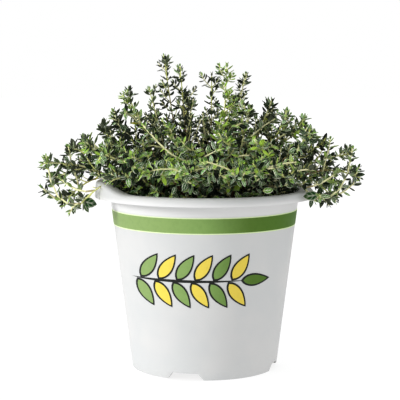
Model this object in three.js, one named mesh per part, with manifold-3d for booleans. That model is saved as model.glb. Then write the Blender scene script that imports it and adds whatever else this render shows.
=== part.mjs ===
// Potted thyme: a thin moulded nursery pot, the soil in it, and the leafy sprigs that grow out of the soil.
//
// Millimetres, +Z up. The origin is the centre of the pot's foot, on the surface that the pot stands on.
// The front of the pot faces -Y, and +X is to the right of someone who looks at that front.

import * as THREE from 'three';
import { mergeVertices } from 'three/addons/utils/BufferGeometryUtils.js';
import Module from 'manifold-3d';

const wasm = await Module();
wasm.setup();

// ---- Driving dimensions -------------------------------------------------------------------------

const CLEARANCE = 0.3; // between pieces that rest in or against each other

// Pot
const POT_HEIGHT = 99.5;
const RIM_RADIUS = 61; // outside of the rim's turned-down skirt
const RIM_CREST_RADIUS = 57.8;
const MOUTH_RADIUS = 53.2; // where the rim starts to roll outwards, inside
const NECK_RADIUS = 52.2; // outside of the wall, just under the rim
const NECK_LEVEL = 93.5;
const FOOT_RADIUS = 40.5; // outside of the wall where it stands
const WALL = 1.2;
const FOOT_RING = 2.4; // thickness of the ring that the pot stands on
const FLOOR_LIFT = 4.2; // from the surface to the underside of the floor
const FLOOR_CORNER = 1.5; // slope between the floor and the wall, inside
const SKIRT_DROP = 4.4; // height of the rim's turned-down skirt
const POT_SEGMENTS = 48;
const RIM_STEPS = 4; // along each curve of the rim's profile

// Notches in the foot, which let water out from under the floor
const NOTCHES = 4;
const NOTCH_HEIGHT = 3.3;
const NOTCH_WIDTH = 18.4; // at the surface
const NOTCH_TOP_WIDTH = 12.6;
const FIRST_NOTCH_ANGLE = -104; // degrees from +X towards +Y, a little left of the front

// Drain holes in the floor
const DRAIN_HOLES = 5;
const DRAIN_RADIUS = 3;
const DRAIN_SIDES = 12;
const DRAIN_RING_RADIUS = 24;

// Soil
const SOIL_LEVEL = 89.5;
const SOIL_UNEVENNESS = 0.9;
const SOIL_EDGE_DROP = 1; // it lies lower along the wall
const SOIL_CORNER = 2; // slope along its lower edge, clear of the floor's corner
const SOIL_RINGS = [39, 26, 13]; // radii of the rings of points in its upper face
const SOIL_SEGMENTS = 32;
const ROOT_DEPTH = 7; // how far each stem goes down into the soil
const SOCKET_RISE = 4; // a stem's socket is open past the highest soil beside it

// Stems, which are four-sided on this plant
const STEM_RADIUS = 0.7; // to its corners
const STEM_SIDES = 4;
const STEM_STEPS = 6;
const ROOT_RADIUS_MIN = 4; // the stems come up closer together than they end
const ROOT_RADIUS_PER_REACH = 0.3;
const ROOT_RADIUS_PER_DROP = 0.1; // low sprigs start further out than high ones that lean the same way
const HIGHEST_TIP = 172;
const SWIRL = 10; // degrees that every stem turns about the middle of the plant as it grows outwards
const ARCH_PER_REACH = 0.12;
const DROOP_LEVEL = 118; // a sprig that ends below this level bends over on its way
const ARCH_PER_DROOP = 0.5;

// Side shoots
const SHOOT_RADIUS = 0.45;
const SHOOT_STEPS = 1;
const SHOOT_SPACING = 36; // along the stem
const FIRST_SHOOT_AT = 0.42; // share of the stem's length
const LAST_SHOOT_AT = 0.9;
const LONGEST_SHOOT = 17;
const SHORTEST_SHOOT = 9;

// Leaves
const LEAF_LENGTH = 6.5;
const LEAF_WIDTH = 3.6;
const LEAF_FOLD = 0.8; // height of its middle above its edges
const LEAF_PAIR_SPACING = 36;
const FIRST_PAIR_AT = 0.35; // share of the stem's length
const LAST_PAIR_AT = 0.97;
const LEAF_ANGLE = 62; // degrees between a leaf and the stem above it
const TIP_LEAF_ANGLE = 38;

// Where each sprig's stem ends: [x, y, z]. The first groups follow the plant's outline from the front, the
// others fill its front, its middle and its back.
const LEADER_TIPS = [
  [-22, 4, 168], [-13, -8, 162], [-30, 12, 150], [4, 5, 158], [12, -7, 163], [22, 9, 158],
];
const LEFT_TIPS = [
  [-42, -2, 150], [-47, -16, 138], [-57, 14, 131], [-63, -20, 125], [-73, 12, 120],
  [-85, -10, 114], [-86, 20, 103], [-77, 1, 93], [-65, -24, 95],
];
const RIGHT_TIPS = [
  [24, -10, 142], [36, 8, 143], [45, -8, 138], [54, 16, 134], [57, -18, 129],
  [67, 3, 124], [83, 14, 117], [85, -12, 106], [77, 25, 97], [73, -1, 92], [59, -27, 95],
];
const FRONT_TIPS = [
  [-36, -44, 119], [-27, -57, 112], [-10, -63, 113], [-6, -42, 123], [5, -62, 115], [13, -36, 126],
  [19, -66, 111], [29, -53, 114], [30, -38, 124], [-18, -26, 132], [-50, -32, 119], [-47, -42, 108],
  [43, -44, 109],
];
const BACK_TIPS = [
  [-11, 30, 150], [16, 33, 147], [-32, 42, 136], [38, 40, 136], [2, 54, 134], [-16, 65, 116],
  [25, 62, 120], [-55, 42, 118], [57, 44, 116], [-38, 60, 105], [9, 68, 106],
];
const SPRIG_TIPS = [...LEADER_TIPS, ...LEFT_TIPS, ...RIGHT_TIPS, ...FRONT_TIPS, ...BACK_TIPS];

// ---- Solids from three.js geometry --------------------------------------------------------------

// A closed geometry as a solid, with its shared points merged and its zero-width triangles dropped.
function solidOf(geometry) {
  const bare = geometry.clone();
  bare.deleteAttribute('normal');
  bare.deleteAttribute('uv');
  const merged = mergeVertices(bare, 1e-4);
  const corners = merged.index.array;
  const kept = [];
  for (let i = 0; i < corners.length; i += 3) {
    const [a, b, c] = corners.slice(i, i + 3);
    if (a !== b && b !== c && c !== a) kept.push(a, b, c);
  }
  const vertProperties = new Float32Array(merged.attributes.position.array);
  const triVerts = new Uint32Array(kept);
  return new wasm.Manifold(new wasm.Mesh({ numProp: 3, vertProperties, triVerts }));
}

function geometryOf(solid) {
  const { vertProperties, triVerts } = solid.getMesh();
  const geometry = new THREE.BufferGeometry();
  geometry.setAttribute('position', new THREE.BufferAttribute(new Float32Array(vertProperties), 3));
  geometry.setIndex(new THREE.BufferAttribute(new Uint32Array(triVerts), 1));
  geometry.computeVertexNormals();
  return geometry;
}

// A profile of [radius, height] points turned about the Z axis.
function turned(points, segments) {
  const profile = points.map(([radius, height]) => new THREE.Vector2(radius, height));
  return new THREE.LatheGeometry(profile, segments).rotateX(Math.PI / 2);
}

// A closed tube of an even section along a path.
function tube(path, radius, sides, steps) {
  const section = new THREE.Shape();
  for (let k = 0; k < sides; k += 1) {
    const angle = (2 * Math.PI * k) / sides;
    const point = [radius * Math.cos(angle), radius * Math.sin(angle)];
    if (k === 0) section.moveTo(...point);
    else section.lineTo(...point);
  }
  section.closePath();
  const settings = { steps, extrudePath: path, bevelEnabled: false };
  return solidOf(new THREE.ExtrudeGeometry(section, settings));
}

// ---- Pot ----------------------------------------------------------------------------------------

// The rim as a path of [radius, height] points, from the wall's outside over the top to its inside. The wall
// rolls outwards and turns down into a skirt, so the rim is open from below.
function rimProfile() {
  const skirtEnd = POT_HEIGHT - SKIRT_DROP;
  const underTop = POT_HEIGHT - WALL;
  const path = new THREE.Path();
  path.moveTo(NECK_RADIUS, NECK_LEVEL);
  path.quadraticCurveTo(MOUTH_RADIUS, underTop, RIM_CREST_RADIUS, underTop);
  path.quadraticCurveTo(RIM_RADIUS - WALL, underTop, RIM_RADIUS - WALL, skirtEnd);
  path.lineTo(RIM_RADIUS, skirtEnd);
  path.quadraticCurveTo(RIM_RADIUS, POT_HEIGHT, RIM_CREST_RADIUS, POT_HEIGHT);
  path.quadraticCurveTo(MOUTH_RADIUS, POT_HEIGHT, NECK_RADIUS - WALL, NECK_LEVEL);
  return path.getPoints(RIM_STEPS).map((point) => [point.x, point.y]);
}

function innerWallRadius(height) {
  const share = height / NECK_LEVEL;
  return FOOT_RADIUS + share * (NECK_RADIUS - FOOT_RADIUS) - WALL;
}

function potShell() {
  const floorTop = FLOOR_LIFT + WALL;
  const ringInside = FOOT_RADIUS - FOOT_RING;
  const profile = [
    [0, FLOOR_LIFT],
    [ringInside, FLOOR_LIFT],
    [ringInside, 0],
    [FOOT_RADIUS, 0],
    ...rimProfile(),
    [innerWallRadius(floorTop + FLOOR_CORNER), floorTop + FLOOR_CORNER],
    [innerWallRadius(floorTop) - FLOOR_CORNER, floorTop],
    [0, floorTop],
  ];
  return solidOf(turned(profile, POT_SEGMENTS));
}

// A wedge with sloped ends that cuts one notch through the foot ring.
function notchCutter(angle) {
  const outline = new THREE.Shape();
  const slope = (NOTCH_WIDTH - NOTCH_TOP_WIDTH) / 2 / NOTCH_HEIGHT;
  const overlap = 1; // the wedge starts below the foot and passes through the ring
  outline.moveTo(-NOTCH_WIDTH / 2 - slope * overlap, -overlap);
  outline.lineTo(NOTCH_WIDTH / 2 + slope * overlap, -overlap);
  outline.lineTo(NOTCH_TOP_WIDTH / 2, NOTCH_HEIGHT);
  outline.lineTo(-NOTCH_TOP_WIDTH / 2, NOTCH_HEIGHT);
  outline.closePath();
  const depth = 2 * (FOOT_RING + overlap);
  const wedge = new THREE.ExtrudeGeometry(outline, { depth, bevelEnabled: false });
  wedge.translate(0, 0, -FOOT_RADIUS - depth / 2);
  wedge.rotateX(Math.PI / 2);
  wedge.rotateZ(THREE.MathUtils.degToRad(angle - 90));
  return solidOf(wedge);
}

function drainCutter(angle) {
  const hole = new THREE.CylinderGeometry(DRAIN_RADIUS, DRAIN_RADIUS, 3 * WALL, DRAIN_SIDES);
  hole.rotateX(Math.PI / 2);
  hole.translate(DRAIN_RING_RADIUS, 0, FLOOR_LIFT + WALL / 2);
  hole.rotateZ(THREE.MathUtils.degToRad(angle));
  return solidOf(hole);
}

function potSolid() {
  let pot = potShell();
  for (let k = 0; k < NOTCHES; k += 1) {
    pot = pot.subtract(notchCutter(FIRST_NOTCH_ANGLE + (360 * k) / NOTCHES));
  }
  for (let k = 0; k < DRAIN_HOLES; k += 1) {
    pot = pot.subtract(drainCutter((360 * k) / DRAIN_HOLES));
  }
  return pot;
}

// ---- Stems --------------------------------------------------------------------------------------

// The stem's middle line above the soil. It leans away from the middle of the plant, and a sprig that ends low
// arches over the rim first.
function stemCurve([x, y, z]) {
  const reach = Math.hypot(x, y);
  const drop = HIGHEST_TIP - z;
  const rootRadius = ROOT_RADIUS_MIN + ROOT_RADIUS_PER_REACH * reach + ROOT_RADIUS_PER_DROP * drop;
  const rootAngle = Math.atan2(y, x) + THREE.MathUtils.degToRad(SWIRL);
  const root = new THREE.Vector3(
    rootRadius * Math.cos(rootAngle),
    rootRadius * Math.sin(rootAngle),
    SOIL_LEVEL,
  );
  const tip = new THREE.Vector3(x, y, z);
  const arch = ARCH_PER_REACH * reach + ARCH_PER_DROOP * Math.max(0, DROOP_LEVEL - z);
  const low = root.clone().lerp(tip, 1 / 3);
  const high = root.clone().lerp(tip, 2 / 3);
  low.z += arch;
  high.z += 0.8 * arch;
  return new THREE.CubicBezierCurve3(root, low, high, tip);
}

// The straight stretch of a stem from `depth` under the soil's level to `rise` above it.
function rootLine(curve, depth, rise) {
  const direction = curve.getTangent(0);
  const from = curve.v0.clone().addScaledVector(direction, -depth);
  const to = curve.v0.clone().addScaledVector(direction, rise);
  return new THREE.LineCurve3(from, to);
}

function stemSolid(curve, grow = 0) {
  const whole = new THREE.CurvePath();
  whole.add(rootLine(curve, ROOT_DEPTH, 0));
  whole.add(curve);
  return tube(whole, STEM_RADIUS + grow, STEM_SIDES, STEM_STEPS);
}

// A horizontal direction across `direction`, or +X where that one is upright.
function across(direction) {
  const side = new THREE.Vector3(0, 0, 1).cross(direction);
  if (side.length() < 0.05) return new THREE.Vector3(1, 0, 0);
  return side.normalize();
}

// The side shoots' middle lines: they leave the stem to its left and right in turn, shorter towards the tip.
function shootCurves(curve) {
  const length = curve.getLength();
  const count = Math.round((length * (LAST_SHOOT_AT - FIRST_SHOOT_AT)) / SHOOT_SPACING) + 1;
  const curves = [];
  for (let k = 0; k < count; k += 1) {
    const share = k / Math.max(1, count - 1);
    const at = FIRST_SHOOT_AT + share * (LAST_SHOOT_AT - FIRST_SHOOT_AT);
    const start = curve.getPointAt(at);
    const along = curve.getTangentAt(at);
    const side = across(along).multiplyScalar(k % 2 === 0 ? 1 : -1);
    const size = LONGEST_SHOOT + share * (SHORTEST_SHOOT - LONGEST_SHOOT);
    const outwards = along.clone().multiplyScalar(0.6).addScaledVector(side, 0.8);
    const middle = start.clone().addScaledVector(outwards, 0.5 * size);
    const end = start.clone().addScaledVector(outwards, 0.85 * size);
    end.z += 0.35 * size;
    curves.push(new THREE.QuadraticBezierCurve3(start, middle, end));
  }
  return curves;
}

function shootSolid(curve, grow = 0) {
  return tube(curve, SHOOT_RADIUS + grow, STEM_SIDES, SHOOT_STEPS);
}

// ---- Leaves -------------------------------------------------------------------------------------

// One leaf, from its stem's middle line to its pointed tip. It is folded along its middle, which stands a
// little above its two edges.
function leafSolid({ start, along, side }, grow = 0) {
  const length = LEAF_LENGTH + grow;
  const halfWidth = LEAF_WIDTH / 2 + grow;
  const normal = along.clone().cross(side);
  const belly = start.clone().addScaledVector(along, 0.45 * length);
  belly.addScaledVector(normal, -LEAF_FOLD - grow);
  const corners = [
    start.clone().addScaledVector(normal, grow),
    belly.clone().addScaledVector(side, -halfWidth),
    start.clone().addScaledVector(along, length).addScaledVector(normal, grow),
    belly.clone().addScaledVector(side, halfWidth),
  ];
  const geometry = new THREE.BufferGeometry().setFromPoints(corners);
  geometry.setIndex([0, 1, 2, 0, 2, 3, 1, 0, 3, 2, 1, 3]);
  return solidOf(geometry);
}

// Two leaves that face each other across a stem, turned about it by `turn` radians.
function leafPair(curve, at, turn, angle) {
  const start = curve.getPointAt(at);
  const stem = curve.getTangentAt(at);
  const side = across(stem).applyAxisAngle(stem, turn);
  const lean = THREE.MathUtils.degToRad(angle);
  return [1, -1].map((way) => {
    const along = stem.clone().multiplyScalar(Math.cos(lean));
    along.addScaledVector(side, way * Math.sin(lean));
    return { start, along, side: stem.clone().cross(side).multiplyScalar(way) };
  });
}

// Pairs along the stem, each turned a quarter from the one below it, and two crossed pairs at the tip.
function stemLeaves(curve) {
  const pairs = Math.round((curve.getLength() * (1 - FIRST_PAIR_AT)) / LEAF_PAIR_SPACING);
  const leaves = [];
  for (let k = 0; k < pairs; k += 1) {
    const at = FIRST_PAIR_AT + (k / pairs) * (1 - FIRST_PAIR_AT);
    leaves.push(...leafPair(curve, at, (k * Math.PI) / 2, LEAF_ANGLE));
  }
  return [...leaves, ...tipLeaves(curve)];
}

function tipLeaves(curve) {
  const turns = [0, Math.PI / 2];
  return turns.flatMap((turn) => leafPair(curve, LAST_PAIR_AT, turn, TIP_LEAF_ANGLE));
}

// ---- Sprigs -------------------------------------------------------------------------------------

function boxesMeet(a, b) {
  return [0, 1, 2].every((axis) => a.min[axis] <= b.max[axis] && b.min[axis] <= a.max[axis]);
}

function isFree(solid, obstacles) {
  const box = solid.boundingBox();
  const near = obstacles.filter((obstacle) => boxesMeet(box, obstacle.boundingBox()));
  return near.every((obstacle) => solid.intersect(obstacle).isEmpty());
}

// A stem with the shoots and leaves that have room between the pieces around them.
function leafySprig(curve, stem, obstacles) {
  let sprig = stem;
  const addWhereFree = (make, place) => {
    const free = isFree(make(place, CLEARANCE), obstacles);
    if (free) sprig = sprig.add(make(place));
    return free;
  };
  for (const leaf of stemLeaves(curve)) addWhereFree(leafSolid, leaf);
  for (const shoot of shootCurves(curve)) {
    if (!addWhereFree(shootSolid, shoot)) continue;
    for (const leaf of leafPair(shoot, LAST_PAIR_AT, 0, TIP_LEAF_ANGLE)) addWhereFree(leafSolid, leaf);
  }
  return sprig;
}

function sprigSolids(pot) {
  const curves = SPRIG_TIPS.map(stemCurve);
  const sprigs = curves.map((curve) => stemSolid(curve));
  curves.forEach((curve, k) => {
    const others = sprigs.filter((_, other) => other !== k);
    sprigs[k] = leafySprig(curve, sprigs[k], [pot, ...others]);
  });
  return { curves, sprigs };
}

// ---- Soil ---------------------------------------------------------------------------------------

// The soil's body fills the pot to just under the rim, with a slightly uneven upper face.
function soilBody() {
  const bottom = FLOOR_LIFT + WALL + CLEARANCE;
  const edge = (height) => [innerWallRadius(height) - CLEARANCE, height];
  const profile = [
    [0, bottom],
    [innerWallRadius(bottom) - CLEARANCE - SOIL_CORNER, bottom],
    edge(bottom + SOIL_CORNER),
    edge(SOIL_LEVEL - SOIL_EDGE_DROP),
    ...SOIL_RINGS.map((radius) => [radius, SOIL_LEVEL]),
    [0, SOIL_LEVEL],
  ];
  const body = turned(profile, SOIL_SEGMENTS);
  const points = body.attributes.position;
  for (let k = 0; k < points.count; k += 1) {
    if (points.getZ(k) < SOIL_LEVEL - SOIL_EDGE_DROP / 2) continue;
    const bump = Math.sin(0.31 * points.getX(k)) * Math.cos(0.27 * points.getY(k));
    points.setZ(k, SOIL_LEVEL + SOIL_UNEVENNESS * bump);
  }
  return solidOf(body);
}

// The soil with a socket for each stem.
function soilSolid(curves) {
  const sockets = curves.map((curve) => {
    const line = rootLine(curve, ROOT_DEPTH + CLEARANCE, SOCKET_RISE);
    return tube(line, STEM_RADIUS + CLEARANCE, STEM_SIDES, 1);
  });
  return sockets.reduce((soil, socket) => soil.subtract(socket), soilBody());
}

// ---- The whole object ---------------------------------------------------------------------------

const POT_FINISH = { color: 0xe9ebea, roughness: 0.42, metalness: 0 };
const SOIL_FINISH = { color: 0x2b211a, roughness: 0.95, metalness: 0 };
const LEAF_FINISH = { color: 0x4f7a46, roughness: 0.6, metalness: 0 };

function piece(name, solid, finish) {
  const mesh = new THREE.Mesh(geometryOf(solid), new THREE.MeshStandardMaterial(finish));
  mesh.name = name;
  return mesh;
}

const pot = potSolid();
const { curves, sprigs } = sprigSolids(pot);
const pottedThyme = new THREE.Group();
pottedThyme.add(piece('pot', pot, POT_FINISH));
pottedThyme.add(piece('soil', soilSolid(curves), SOIL_FINISH));
sprigs.forEach((sprig, k) => {
  pottedThyme.add(piece(`sprig_${String(k + 1).padStart(2, '0')}`, sprig, LEAF_FINISH));
});

export default pottedThyme;
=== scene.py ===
"""A thyme plant in its white moulded nursery pot.

Metres, +Z up, with the pot standing at the origin and its front towards -Y. The pot, its print
and the soil are modelled ring by ring. The sprigs follow the same stems as the solids that they
replace, and are grown from two modelled leaves and two modelled stalks, copied along those stems.
"""

import math
import random
from collections import namedtuple

import bpy
import numpy as np
from mathutils import Matrix, Vector


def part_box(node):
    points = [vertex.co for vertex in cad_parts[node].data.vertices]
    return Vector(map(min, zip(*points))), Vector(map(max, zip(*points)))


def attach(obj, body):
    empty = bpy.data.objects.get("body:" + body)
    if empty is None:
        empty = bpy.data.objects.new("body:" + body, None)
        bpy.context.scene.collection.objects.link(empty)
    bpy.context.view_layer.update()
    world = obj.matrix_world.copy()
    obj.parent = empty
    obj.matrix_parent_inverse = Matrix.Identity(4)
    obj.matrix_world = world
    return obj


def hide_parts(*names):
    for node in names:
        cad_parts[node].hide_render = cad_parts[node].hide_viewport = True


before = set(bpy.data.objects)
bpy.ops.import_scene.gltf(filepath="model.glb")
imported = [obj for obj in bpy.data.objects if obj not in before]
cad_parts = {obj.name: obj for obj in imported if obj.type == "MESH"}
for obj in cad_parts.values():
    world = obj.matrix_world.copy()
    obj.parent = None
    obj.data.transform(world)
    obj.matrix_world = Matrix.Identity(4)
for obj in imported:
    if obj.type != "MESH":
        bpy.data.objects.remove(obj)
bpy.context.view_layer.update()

MM = 0.001
UP = Vector((0, 0, 1))

# ---- Sizes ----

# Pot
POT_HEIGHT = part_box("pot")[1].z
RIM_RADIUS = 61 * MM
RIM_CREST_RADIUS = 57.8 * MM
MOUTH_RADIUS = 53.2 * MM
NECK_RADIUS = 52.2 * MM
NECK_LEVEL = 93.5 * MM
FOOT_RADIUS = 40.5 * MM
FOOT_RING = 2.4 * MM
WALL = 1.2 * MM
WALL_RINGS = (0.05, 0.1, 0.3, 0.5, 0.75)  # shares of the way up the tapered wall
FLOOR_LIFT = 4.2 * MM
FLOOR_CORNER = 1.5 * MM
SKIRT_DROP = 4.4 * MM
POT_SIDES = 160
EDGE_ROUNDING = 0.3 * MM
NOTCHES = 4
NOTCH_HEIGHT = 3.6 * MM
NOTCH_WIDTH = 20.0 * MM
NOTCH_TOP_WIDTH = 14.0 * MM
FIRST_NOTCH_ANGLE = -105
DRAIN_HOLES = 5
DRAIN_RADIUS = 3 * MM
DRAIN_RING_RADIUS = 24 * MM
RIM_LIFT = 4.4 * MM  # the thin rim stands a little out of flat at its left end
RIM_SWELL = 0.5 * MM  # and its roll is fatter there
RIM_LIFT_REACH = 30 * MM

# Print on the pot
BAND_BOTTOM = 80.3 * MM
BAND_TOP = 88.0 * MM
BAND_EDGE = 0.55 * MM
SPRAY_LENGTH = 62 * MM
SPRAY_PLACE = (-8.2 * MM, 54.5 * MM)
SPRAY_PAIRS = 6
SPRAY_LEAF = (17 * MM, 7.4 * MM)
SPRAY_END_LEAF = (15.5 * MM, 7.0 * MM)
SPRAY_LEAN = 56
TWIG_WIDTH = 1.5 * MM
DARK_EDGE = (2.6 * MM, 1.8 * MM)  # by how much a leaf's colour is shorter and narrower
PRINT_STRIP = 1.5 * MM
INK = 0.04 * MM

# Soil
SOIL_LEVEL = 89.5 * MM
SOIL_MOUND = 5 * MM  # how much the soil rises to its middle
SOIL_RINGS = (0.96, 0.86, 0.74, 0.6, 0.45, 0.3, 0.15)
SOIL_ROUGHNESS = 1.1 * MM
CLEARANCE = 0.3 * MM
CRUMBS = 420
CRUMB_SEED = 11
PALE_CRUMBS = 0.04

# Stems: the same rules as the solids that the sprigs replace
ROOT_RADIUS_MIN = 4
ROOT_RADIUS_PER_REACH = 0.3
ROOT_RADIUS_PER_DROP = 0.1
HIGHEST_TIP = 172
SWIRL = 10
ARCH_PER_REACH = 0.12
DROOP_LEVEL = 118
ARCH_PER_DROOP = 0.5
ROOT_DEPTH = 6 * MM
SHOOT_SPACING = 36 * MM
SHOOTS_FROM_TO = (0.42, 0.9)
LONGEST_SHORTEST = (17 * MM, 9 * MM)

# How a group of sprigs grows: a leaf's length, its breadth as a share of that, the distance
# between pairs, a leaf's lean from its stem, its bend and its turn to the light, the size of the
# crown at a tip, the share of tufts, the distance between small shoots and the bare foot as
# shares of the stem, its radius, its growth past the tip in mm, creeping shoots or none, the tint
Habit = namedtuple(
    "Habit", "leaf broad spacing lean bend turn crown tufts shoots bare stem growth creeps tint",
)
SLIM = Habit(
    leaf=5.0 * MM, broad=0.48, spacing=5.1 * MM, lean=85, bend=-0.2, turn=0.1, crown=0.78,
    tufts=0.25, shoots=0.062, bare=0.12, stem=0.4 * MM, growth=4.8, creeps=False, tint=0.14,
)
# The sprigs at the back get a darker tint than those at the sides and front: painted shade.
BEHIND = SLIM._replace(shoots=0.05, bare=0.03, growth=3, tint=0.2)
SIDE = Habit(
    leaf=5.4 * MM, broad=0.50, spacing=5.0 * MM, lean=80, bend=-0.08, turn=0.45, crown=0.95,
    tufts=0.15, shoots=0.07, bare=0.15, stem=0.55 * MM, growth=3, creeps=True, tint=0.36,
)
LEFT_HANGING = SIDE._replace(
    leaf=5.7 * MM, broad=0.44, spacing=5.5 * MM, lean=72, turn=0.35, shoots=0.1, bare=0.5,
    growth=4.5, creeps=False, tint=0.3,
)
RIGHT_HANGING = LEFT_HANGING._replace(growth=0.3)
BROAD = SIDE._replace(
    spacing=5.1 * MM, lean=74, bend=0.04, turn=0.75, crown=1.0, tufts=0.1, shoots=0.092,
    stem=0.6 * MM, tint=0.49,
)
# The tips of the sprigs in mm, in the order of the solids
SPRIG_GROUPS = [
    (SLIM, [
        (-22, 4, 168), (-13, -8, 162), (-30, 12, 150), (4, 5, 158), (12, -7, 163), (22, 9, 158),
    ]),
    (SIDE, [(-42, -2, 150), (-47, -16, 138), (-57, 14, 131), (-63, -20, 125)]),
    (LEFT_HANGING, [
        (-73, 12, 120), (-85, -10, 114), (-86, 20, 103), (-77, 1, 93), (-65, -24, 95),
    ]),
    (SIDE, [(24, -10, 142), (36, 8, 143), (45, -8, 138), (54, 16, 134), (57, -18, 129)]),
    (RIGHT_HANGING, [
        (67, 3, 124), (83, 14, 117), (85, -12, 106), (77, 25, 97), (73, -1, 92), (59, -27, 95),
    ]),
    (BROAD, [
        (-36, -44, 119), (-27, -57, 112), (-10, -63, 113), (-6, -42, 123), (5, -62, 115),
        (13, -36, 126), (19, -66, 111), (29, -53, 114), (30, -38, 124), (-18, -26, 132),
        (-50, -32, 119), (-47, -42, 108), (43, -44, 109),
    ]),
    (BEHIND, [
        (-11, 30, 150), (16, 33, 147), (-32, 42, 136), (38, 40, 136), (2, 54, 134), (-16, 65, 116),
        (25, 62, 120), (-55, 42, 118), (57, 44, 116), (-38, 60, 105), (9, 68, 106),
    ]),
]
FIRST_SEED = 100

# The tall shoot right of the middle has larger leaves that turn more to the light
OWN_HABITS = {5: SLIM._replace(leaf=5.9 * MM, broad=0.52, turn=0.4, spacing=5.4 * MM)}

# The tints of sprigs whose colour stands out
TINTS = {
    1: 0.1, 2: 0.05, 4: 0.15, 5: 0.76, 6: 0.1, 7: 0.5, 27: 0.64, 29: 0.4, 31: 0.38, 33: 0.42,
    35: 0.64,
}
RED_STEMS = (1, 2, 4)


def other_side(point):
    """Where a point in mm of the left hanging sprigs has its match on the right."""
    x, y, z = point
    return (-5.8 - x, y, z + 4.1)


# Shoots placed one by one: where each leaves its stem, and the points in mm that it bends towards
# and ends at
LEFT_FAN = [
    (0.8, (-69, -9, 104), (-73.5, -10, 112), (-74.5, -10, 123)),
    (0.95, (-84, -6, 93), (-90, -8, 101)),
]
LEFT_DROOP = [
    (0.97, (-83, -18, 88), (-86.5, -12, 118)),
    (0.97, (-70, -24, 94), (-73, -22, 88)),
    (0.8, (-66, -20, 98), (-72, -17, 100), (-79, -14, 106)),
]
RIGHT_FAN, RIGHT_DROOP = (
    [(at, *map(other_side, points)) for at, *points in shoots] for shoots in (LEFT_FAN, LEFT_DROOP)
)
PLACED_SHOOTS = {
    2: [(0.5, (-9, -7, 136), (-6, -7, 149)), (0.4, (-6, -6, 126), (-2, -8, 138))],
    4: [(0.45, (-1, 1, 128), (-1, -2, 141)), (0.3, (0, -5, 117), (-4, -9, 128))],
    14: LEFT_FAN,
    15: LEFT_DROOP,
    25: RIGHT_FAN,
    26: [*RIGHT_DROOP, (0.9, (63, -31, 97), (60.5, -36, 99))],
    30: [(0.75, (-12, -46, 114), (-22, -46, 124), (-32, -42, 136))],
    39: [(0.35, (40, -36, 101), (49, -36, 104), (48, -35, 117))],
}
# And single leaves: where each starts, which way it points, its length and width in mm, its tint
PLACED_LEAVES = {
    12: [((-45.5, -17, 102), (-1, -0.05, 0.12), 5.0, 2.0, 0.8)],
    15: [
        ((-66.3, -24, 94.6), (1, -0.12, -0.2), 8.2, 5.8, 0.4),
        ((-65, -24.5, 93.5), (0.5, -0.2, -1), 5.5, 2.6, 0.4),
    ],
    26: [
        ((60.5, -35.5, 99), (-1, -0.2, -0.05), 8.2, 5.6, 0.4),
        ((57, -33, 97), (-0.2, -0.3, -1), 5.0, 2.4, 0.4),
    ],
    39: [((30, -48, 102.5), (1, -0.1, 0.1), 5.4, 3.5, 0.7)],
}

# Leaves
BIG_LEAF_LENGTH = 3.2 * MM
LAST_PAIR = 3.4 * MM  # how far from a twig's tip its pairs end and its crown begins
CROWN = ((0.95, 76, 0.6), (0.82, 62, 0.74), (0.58, 42, 0.92), (0.34, 20, 1.0))  # size, lean, age
FRESH = 0.94  # the highest tint of a fresh leaf
WITHERED = 1.0
WITHERED_SHARE = 0.04
STALK_RINGS = 14
LEAF, STEM = 0, 1  # material numbers

# Leaves are rubbed off where a stem lies low across the rim
RUBBED_INSIDE = 52 * MM
RUBBED_OUTSIDE = 63.5 * MM
RUBBED_BELOW = 102.5 * MM

# Leaves turn their faces away from here
PLANT_MIDDLE = Vector((0, 0, 95)) * MM

# Camera, worked out from the ellipses of the rim, the band and the foot
CAMERA_PLACE = (-2.5 * MM, -692 * MM, 166.5 * MM)
CAMERA_PITCH = 6.1
CAMERA_LENS = 112.3

# One wide lamp, on the left and in front, not far above the table
LAMP_SIDE = (-0.88, -0.33, 0.3)
LAMP_STRENGTH = 1.7
LAMP_WIDTH = 18
GAMMA = 0.85  # the photograph is a contrasty one


# ---- Modelling helpers ----

def clear_selection():
    if bpy.context.object and bpy.context.object.mode != "OBJECT":
        bpy.ops.object.mode_set(mode="OBJECT")
    bpy.ops.object.select_all(action="DESELECT")


def pick(piece):
    """Selects a piece alone, in object mode."""
    clear_selection()
    piece.select_set(True)
    bpy.context.view_layer.objects.active = piece


def edit(piece, action="DESELECT"):
    """Opens a piece alone in edit mode, with nothing or all of it selected."""
    pick(piece)
    bpy.ops.object.mode_set(mode="EDIT")
    bpy.ops.mesh.select_all(action=action)


def added(operator, **settings):
    """A new primitive, with nothing else selected."""
    clear_selection()
    operator(**settings)
    return bpy.context.object


def select_parts(piece, parts, chosen):
    """In edit mode, selects the vertices or faces for which chosen says True."""
    bpy.ops.mesh.select_mode(type={"vertices": "VERT", "polygons": "FACE"}[parts])
    bpy.ops.mesh.select_all(action="DESELECT")
    bpy.ops.object.mode_set(mode="OBJECT")
    for part in getattr(piece.data, parts):
        part.select = chosen(part)
    bpy.ops.object.mode_set(mode="EDIT")


def apply_modifier(piece, kind, **settings):
    pick(piece)
    modifier = piece.modifiers.new(kind.title(), kind)
    for setting, value in settings.items():
        setattr(modifier, setting, value)
    bpy.ops.object.modifier_apply(modifier=modifier.name)


def outwards(piece):
    """Closes a piece's seams and turns its faces outwards."""
    edit(piece, "SELECT")
    bpy.ops.mesh.remove_doubles(threshold=0.001 * MM)
    bpy.ops.mesh.normals_make_consistent(inside=False)
    bpy.ops.object.mode_set(mode="OBJECT")


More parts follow.
